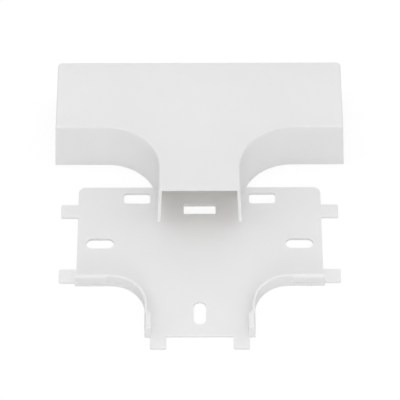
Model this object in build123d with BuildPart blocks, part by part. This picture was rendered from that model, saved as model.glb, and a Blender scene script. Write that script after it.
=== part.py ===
from build123d import *
from math import atan2, cos, sin
import os

# Trunking tee in two mouldings: a flat base and the cover taken off it, laid
# behind the base with its branch over the plate. Sizes are in millimetres.
# X runs along the main run, Y away from the branch, Z up from the mounting face.

# Base plate
plate_thickness = 1.5
plate_length = 122.45
plate_back = 35.95
plate_corner_radius = 3.75
plate_edge_radius = 0.35
run_front = 25.45
branch_half_width = 27.05
branch_reach = 56.6
elbow_radius = 17.0

# Tabs that slide into the trunking
tab_pitch = 40.7
tab_width = 7.9
tab_length = 8.65
tab_middle = 0.4
branch_tab_length = 7.35
tab_corner_radius = 0.9
tab_root = 4.0

# Screw and tie slots, placed from the edge of the plate
slot_length = 13.9
slot_width = 6.1
side_slot_setback = 11.4
branch_slot_setback = 13.65
back_slot_length = 13.2
back_slot_width = 6.7
back_slot_corner = 1.3
back_slot_spacing = 63.4
back_slot_setback = 7.15
centre_slot_length = 16.1
centre_slot_width = 5.9
centre_slot_setback = 14.25

# Snap flange round the two inside corners
flange_height = 8.4
flange_wall = 1.4
run_overrun = 0.55
branch_overrun = 0.1
rim_radius = 0.4
run_snap_length = 15.6
branch_snap_length = 9.0
lug_swell = 1.8
lug_ramp = 2.0
groove_floor = 2.0
groove_height = 2.0
groove_depth = 0.7
groove_ramp = 2.4
lead_height = 1.4
lead_angle = 28.0

# Cover shell, sizes at its open lower edge
cover_length = 147.6
cover_depth = 46.74
cover_branch_width = 42.7
cover_reach = 88.0
cover_height = 27.8
cover_wall = 1.5
cover_roof = 1.0
cover_draft = 2.6
cover_elbow_radius = 25.9
cover_corner_radius = 3.4
cover_edge_radius = 0.8
relief_height = 4.0
relief_margin = 2.5
cover_back = 97.75
seat_clearance = 0.05

# Working allowances
nudge = 0.01
overshoot = 6.0

# The cover stands on its back wall and leans on the back edge of the base
lean = atan2(plate_thickness + seat_clearance, cover_back - plate_back)
cover_plane = Plane(
    origin=(0, cover_back, 0),
    x_dir=(1, 0, 0),
    z_dir=(0, sin(lean), cos(lean)),
)

flange_length = plate_length + 2 * run_overrun
flange_reach = branch_reach + branch_overrun
run_snap_end = flange_length / 2 - run_snap_length
branch_snap_end = -flange_reach + branch_snap_length

with BuildSketch() as flange_outside:
    with Locations((0, -run_front)):
        Rectangle(flange_length, run_front, align=(Align.CENTER, Align.MIN))
    with Locations((0, -flange_reach)):
        Rectangle(2 * branch_half_width, flange_reach, align=(Align.CENTER, Align.MIN))
    outside_elbows = flange_outside.vertices().filter_by(lambda v: abs(v.Y + run_front) < nudge)
    fillet(outside_elbows.sort_by(lambda v: abs(v.X))[:2], elbow_radius)

with BuildSketch() as flange_inside:
    inside_front = run_front - flange_wall
    with Locations((0, -inside_front)):
        Rectangle(flange_length + overshoot, inside_front + overshoot, align=(Align.CENTER, Align.MIN))
    with Locations((0, -flange_reach - overshoot)):
        Rectangle(
            2 * (branch_half_width - flange_wall),
            flange_reach + overshoot,
            align=(Align.CENTER, Align.MIN),
        )
    inside_elbows = flange_inside.vertices().filter_by(lambda v: abs(v.Y + inside_front) < nudge)
    fillet(inside_elbows.sort_by(lambda v: abs(v.X))[:2], elbow_radius + flange_wall)

with BuildPart() as base:
    # Plate with its tabs and slots
    with BuildSketch() as plate_outline:
        with Locations((0, plate_back)):
            Rectangle(plate_length, plate_back + run_front, align=(Align.CENTER, Align.MAX))
        with Locations((0, -branch_reach)):
            Rectangle(2 * branch_half_width, branch_reach, align=(Align.CENTER, Align.MIN))
        plate_elbows = plate_outline.vertices().filter_by(lambda v: abs(v.Y + run_front) < nudge)
        fillet(plate_elbows.sort_by(lambda v: abs(v.X))[:2], elbow_radius)
        fillet(plate_outline.vertices().group_by(Axis.Y)[-1], plate_corner_radius)
        with Locations((0, tab_middle)):
            with GridLocations(plate_length + tab_length - tab_root, tab_pitch, 2, 2):
                RectangleRounded(tab_length + tab_root, tab_width, tab_corner_radius)
        with Locations((0, -branch_reach - (branch_tab_length - tab_root) / 2)):
            with GridLocations(tab_pitch, 0, 2, 1):
                RectangleRounded(tab_width, branch_tab_length + tab_root, tab_corner_radius)
        with GridLocations(plate_length - 2 * side_slot_setback, 0, 2, 1):
            SlotOverall(slot_length, slot_width, mode=Mode.SUBTRACT)
        with Locations((0, -branch_reach + branch_slot_setback)):
            SlotOverall(slot_length, slot_width, rotation=90, mode=Mode.SUBTRACT)
        with Locations((0, plate_back - back_slot_setback)):
            with GridLocations(back_slot_spacing, 0, 2, 1):
                RectangleRounded(back_slot_length, back_slot_width, back_slot_corner, mode=Mode.SUBTRACT)
        with Locations((0, plate_back - centre_slot_setback)):
            Rectangle(centre_slot_length, centre_slot_width, mode=Mode.SUBTRACT)
    extrude(amount=plate_thickness)
    fillet(base.faces().sort_by(Axis.Z)[-1].outer_wire().edges(), plate_edge_radius)

    # Flange, thickened inwards into a lug at each end of the branch
    with BuildSketch() as flange_strip:
        add(flange_outside.sketch)
        add(flange_inside.sketch, mode=Mode.SUBTRACT)
        with BuildLine() as branch_lug:
            Polyline(
                (branch_half_width, -flange_reach),
                (branch_half_width - flange_wall - lug_swell, -flange_reach),
                (branch_half_width - flange_wall - lug_swell, branch_snap_end),
                (branch_half_width - flange_wall, branch_snap_end + lug_ramp),
                (branch_half_width, branch_snap_end + lug_ramp),
                close=True,
            )
        make_face()
        mirror(about=Plane.YZ)
    extrude(amount=flange_height)
    fillet(base.faces().sort_by(Axis.Z)[-2:].edges(), rim_radius)

    # Snap groove along the outside of each straight end, running out on a ramp
    with BuildSketch(Plane.XY.offset(groove_floor)) as grooves:
        with BuildLine() as run_groove:
            Polyline(
                (flange_length / 2 + overshoot, -run_front - overshoot),
                (flange_length / 2 + overshoot, -run_front + groove_depth),
                (run_snap_end, -run_front + groove_depth),
                (run_snap_end - groove_ramp, -run_front),
                (run_snap_end - groove_ramp, -run_front - overshoot),
                close=True,
            )
        make_face()
        with BuildLine() as branch_groove:
            Polyline(
                (branch_half_width + overshoot, -flange_reach - overshoot),
                (branch_half_width - groove_depth, -flange_reach - overshoot),
                (branch_half_width - groove_depth, branch_snap_end),
                (branch_half_width, branch_snap_end + groove_ramp),
                (branch_half_width + overshoot, branch_snap_end + groove_ramp),
                close=True,
            )
        make_face()
        mirror(about=Plane.YZ)
    extrude(amount=groove_height, mode=Mode.SUBTRACT)

    # Sloping lead above each groove, over which the cover clips on
    with BuildSketch(Plane.XY.offset(flange_height - lead_height)) as leads:
        with Locations((run_snap_end, -run_front)):
            Rectangle(run_snap_length + overshoot, overshoot, align=(Align.MIN, Align.MAX))
        with Locations((branch_half_width, branch_snap_end)):
            Rectangle(overshoot, branch_snap_length + overshoot, align=(Align.MIN, Align.MAX))
        mirror(about=Plane.YZ)
    extrude(amount=lead_height + nudge, taper=-lead_angle, mode=Mode.SUBTRACT)

# Cover shell, built flat with its back edge on X
with BuildPart() as shell:
    with BuildSketch() as shell_outline:
        Rectangle(cover_length, cover_depth, align=(Align.CENTER, Align.MAX))
        Rectangle(cover_branch_width, cover_reach, align=(Align.CENTER, Align.MAX))
        shell_elbows = shell_outline.vertices().filter_by(lambda v: abs(v.Y + cover_depth) < nudge)
        fillet(shell_elbows.sort_by(lambda v: abs(v.X))[:2], cover_elbow_radius)
        fillet(shell_outline.vertices().group_by(Axis.Y)[-1], cover_corner_radius)
    extrude(amount=cover_height, taper=cover_draft)
    shell_top = shell.faces().sort_by(Axis.Z)[-1]
    fillet(shell_top.edges().sort_by(Axis.Y)[1:], cover_edge_radius)

    # Hollow that runs out through the three ends
    with BuildSketch() as hollow_outline:
        with Locations((0, -cover_wall)):
            Rectangle(
                cover_length + 2 * overshoot,
                cover_depth - 2 * cover_wall,
                align=(Align.CENTER, Align.MAX),
            )
            Rectangle(
                cover_branch_width - 2 * cover_wall,
                cover_reach + overshoot,
                align=(Align.CENTER, Align.MAX),
            )
        hollow_front = cover_depth - cover_wall
        hollow_elbows = hollow_outline.vertices().filter_by(lambda v: abs(v.Y + hollow_front) < nudge)
        fillet(hollow_elbows.sort_by(lambda v: abs(v.X))[:2], cover_elbow_radius + cover_wall)
    extrude(amount=cover_height - cover_roof, taper=cover_draft, mode=Mode.SUBTRACT)

    # Relief under the branch walls, from the mouth almost to the back edge of the base
    relief_back = plate_back - relief_margin - cover_back
    with BuildSketch(Plane.YZ) as relief_side:
        with BuildLine() as relief_line:
            Polyline(
                (-cover_reach - overshoot, -overshoot),
                (-cover_reach - overshoot, relief_height),
                (relief_back - relief_height, relief_height),
                (relief_back, -overshoot),
                close=True,
            )
        make_face()
    extrude(amount=cover_branch_width, both=True, mode=Mode.SUBTRACT)

with BuildPart() as cover:
    add(shell.part.moved(cover_plane.location))

os.makedirs("parts", exist_ok=True)
base.part.label = "base"
export_step(base.part, "parts/base.step")
cover.part.label = "cover"
export_step(cover.part, "parts/cover.step")
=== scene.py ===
import bpy
from math import radians
from mathutils import Euler, Matrix, Vector

# Dresses the trunking tee's two mouldings in white plastic, in a pale studio.
# Lengths are in metres and colours in linear light.

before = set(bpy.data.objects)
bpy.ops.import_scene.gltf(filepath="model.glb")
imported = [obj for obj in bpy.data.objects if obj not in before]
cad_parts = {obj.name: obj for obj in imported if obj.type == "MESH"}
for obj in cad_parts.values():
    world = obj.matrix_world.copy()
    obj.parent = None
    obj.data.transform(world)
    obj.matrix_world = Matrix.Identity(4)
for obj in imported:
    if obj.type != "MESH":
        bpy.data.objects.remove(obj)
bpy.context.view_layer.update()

MM = 0.001
RIGHT_ANGLE = radians(90.0)
WHITE = (1.0, 1.0, 1.0, 1.0)

# Camera, fitted to the outlines in the photograph
CAMERA_AIM = Vector((0.2, 16.8, 15.2)) * MM
CAMERA_DISTANCE = 1341.5 * MM
CAMERA_ELEVATION = radians(51.66)
CAMERA_ROLL = radians(-0.15)
CAMERA_LENS = 241.5
CAMERA_SENSOR = 36.0
CAMERA_CLIP_START = 0.05

# Plastic: the two tints of its clouding, its grain, and the light that passes through it
PLASTIC_LIGHT = (0.907, 0.920, 0.948, 1.0)
PLASTIC_DARK = (0.894, 0.907, 0.935, 1.0)
CLOUD_SIZE = 18 * MM
CLOUD_DETAIL = 4.0
CLOUD_RANGE = (0.30, 0.70)
GRAIN_SIZE = 0.35 * MM
GRAIN_DETAIL = 3.0
GRAIN_DEPTH = 0.010 * MM
GRAIN_STRENGTH = 0.5
PLASTIC_ROUGHNESS = (0.40, 0.50)
PLASTIC_IOR = 1.5
PLASTIC_SHEEN = 0.25
PLASTIC_TRANSLUCENCE = 0.275
PLASTIC_THROUGH = (0.96, 0.92, 0.85, 1.0)

# Floor: what it returns to the object, and its shade and glow where it is looked at
FLOOR_SIZE = 6.0
FLOOR_LEVEL = -0.2 * MM
FLOOR_BOUNCE = (0.45, 0.45, 0.45, 1.0)
FLOOR_SHADE = (0.12, 0.12, 0.12, 1.0)
FLOOR_GLOW = 0.895

# Sky: its light on the object, and its level where it is looked at
SKY_LEVEL = 0.58
SKY_SEEN = 1.0

# Soft boxes: azimuth from the camera's side and elevation in degrees, width, power
LAMP_DISTANCE = 1.2
LAMPS = (
    (-95, 43, 1.0, 2.4),
    (95, 43, 1.0, 2.4),
    (2, 15, 0.6, 4.7),
    (2, 70, 1.0, 1.5),
    (180, 25, 1.0, 2.2),
)


def new_material(name):
    material = bpy.data.materials.new(name)
    material.use_nodes = True
    tree = material.node_tree
    tree.nodes.clear()
    output = tree.nodes.new("ShaderNodeOutputMaterial")
    return material, tree, output


def mix_shaders(tree, first, second):
    """A Mix Shader of two shaders, whose Fac is the second one's share."""
    mix = tree.nodes.new("ShaderNodeMixShader")
    tree.links.new(first, mix.inputs[1])
    tree.links.new(second, mix.inputs[2])
    return mix


def noise(tree, size, detail):
    """Noise in the object's own metres, with features of about the given size."""
    place = tree.nodes.new("ShaderNodeTexCoord")
    texture = tree.nodes.new("ShaderNodeTexNoise")
    texture.inputs["Scale"].default_value = 1.0 / size
    texture.inputs["Detail"].default_value = detail
    tree.links.new(place.outputs["Object"], texture.inputs["Vector"])
    return texture.outputs["Fac"]


def white_plastic(name):
    """Satin white plastic: faint clouds, a fine grain, uneven gloss, a little light through it."""
    material, tree, output = new_material(name)
    shader = tree.nodes.new("ShaderNodeBsdfPrincipled")
    clouds = noise(tree, CLOUD_SIZE, CLOUD_DETAIL)
    grain = noise(tree, GRAIN_SIZE, GRAIN_DETAIL)

    tint = tree.nodes.new("ShaderNodeValToRGB")
    stops = zip(tint.color_ramp.elements, CLOUD_RANGE, (PLASTIC_DARK, PLASTIC_LIGHT))
    for stop, position, color in stops:
        stop.position = position
        stop.color = color
    tree.links.new(clouds, tint.inputs["Fac"])
    tree.links.new(tint.outputs["Color"], shader.inputs["Base Color"])

    gloss = tree.nodes.new("ShaderNodeMapRange")
    gloss.inputs["To Min"].default_value = PLASTIC_ROUGHNESS[0]
    gloss.inputs["To Max"].default_value = PLASTIC_ROUGHNESS[1]
    tree.links.new(grain, gloss.inputs["Value"])
    tree.links.new(gloss.outputs["Result"], shader.inputs["Roughness"])

    bump = tree.nodes.new("ShaderNodeBump")
    bump.inputs["Strength"].default_value = GRAIN_STRENGTH
    bump.inputs["Distance"].default_value = GRAIN_DEPTH
    tree.links.new(grain, bump.inputs["Height"])
    tree.links.new(bump.outputs["Normal"], shader.inputs["Normal"])

    shader.inputs["IOR"].default_value = PLASTIC_IOR
    shader.inputs["Specular IOR Level"].default_value = PLASTIC_SHEEN

    through = tree.nodes.new("ShaderNodeBsdfTranslucent")
    through.inputs["Color"].default_value = PLASTIC_THROUGH
    surface = mix_shaders(tree, shader.outputs["BSDF"], through.outputs["BSDF"])
    surface.inputs["Fac"].default_value = PLASTIC_TRANSLUCENCE
    tree.links.new(surface.outputs["Shader"], output.inputs["Surface"])
    return material


def seen_directly(tree):
    """1 for rays that look at the background, straight or by way of gloss or glass."""
    path = tree.nodes.new("ShaderNodeLightPath")
    total = path.outputs["Is Camera Ray"]
    for other in ("Is Glossy Ray", "Is Transmission Ray"):
        larger = tree.nodes.new("ShaderNodeMath")
        larger.operation = "MAXIMUM"
        tree.links.new(total, larger.inputs[0])
        tree.links.new(path.outputs[other], larger.inputs[1])
        total = larger.outputs["Value"]
    return total


def studio_floor():
    """Pale floor: white with the object's shadow where it is looked at, grey in what it returns."""
    bpy.ops.mesh.primitive_plane_add(size=FLOOR_SIZE, location=(0, 0, FLOOR_LEVEL))
    floor = bpy.context.object
    floor.name = "studio_floor"
    material, tree, output = new_material("pale_floor")
    bounce = tree.nodes.new("ShaderNodeBsdfDiffuse")
    bounce.inputs["Color"].default_value = FLOOR_BOUNCE
    shade = tree.nodes.new("ShaderNodeBsdfDiffuse")
    shade.inputs["Color"].default_value = FLOOR_SHADE
    glow = tree.nodes.new("ShaderNodeEmission")
    glow.inputs["Strength"].default_value = FLOOR_GLOW
    seen = tree.nodes.new("ShaderNodeAddShader")
    tree.links.new(shade.outputs["BSDF"], seen.inputs[0])
    tree.links.new(glow.outputs["Emission"], seen.inputs[1])
    choose = mix_shaders(tree, bounce.outputs["BSDF"], seen.outputs["Shader"])
    tree.links.new(seen_directly(tree), choose.inputs["Fac"])
    tree.links.new(choose.outputs["Shader"], output.inputs["Surface"])
    floor.data.materials.append(material)


def studio_sky():
    """Even sky, white where it is looked at."""
    world = bpy.data.worlds.new("studio_sky")
    bpy.context.scene.world = world
    world.use_nodes = True
    tree = world.node_tree
    tree.nodes.clear()
    output = tree.nodes.new("ShaderNodeOutputWorld")
    levels = []
    for strength in (SKY_LEVEL, SKY_SEEN):
        background = tree.nodes.new("ShaderNodeBackground")
        background.inputs["Color"].default_value = WHITE
        background.inputs["Strength"].default_value = strength
        levels.append(background.outputs["Background"])
    choose = mix_shaders(tree, *levels)
    tree.links.new(seen_directly(tree), choose.inputs["Fac"])
    tree.links.new(choose.outputs["Shader"], output.inputs["Surface"])


def studio_lamps():
    """Square soft boxes round the object, all turned to the camera's aim."""
    for number, (azimuth, elevation, width, power) in enumerate(LAMPS):
        name = "soft_box_%d" % number
        data = bpy.data.lights.new(name, "AREA")
        data.shape = "SQUARE"
        data.size = width
        data.energy = power
        lamp = bpy.data.objects.new(name, data)
        bpy.context.scene.collection.objects.link(lamp)
        turn = Euler((RIGHT_ANGLE - radians(elevation), 0, radians(azimuth)))
        lamp.rotation_euler = turn
        lamp.location = CAMERA_AIM + turn.to_matrix() @ Vector((0, 0, LAMP_DISTANCE))
        lamp.visible_camera = False


def photo_camera():
    """Camera in front of the object, looking down at the photograph's angle."""
    data = bpy.data.cameras.new("photo_camera")
    data.lens = CAMERA_LENS
    data.sensor_width = CAMERA_SENSOR
    data.clip_start = CAMERA_CLIP_START
    camera = bpy.data.objects.new("photo_camera", data)
    bpy.context.scene.collection.objects.link(camera)
    turn = Matrix.Rotation(RIGHT_ANGLE - CAMERA_ELEVATION, 3, "X")
    camera.location = CAMERA_AIM + turn @ Vector((0, 0, CAMERA_DISTANCE))
    camera.rotation_euler = (turn @ Matrix.Rotation(CAMERA_ROLL, 3, "Z")).to_euler()
    bpy.context.scene.camera = camera


bpy.context.scene.view_settings.view_transform = "Standard"
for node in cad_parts.values():
    node.data.materials.clear()
    node.data.materials.append(white_plastic(node.name + "_plastic"))
studio_floor()
studio_sky()
studio_lamps()
photo_camera()
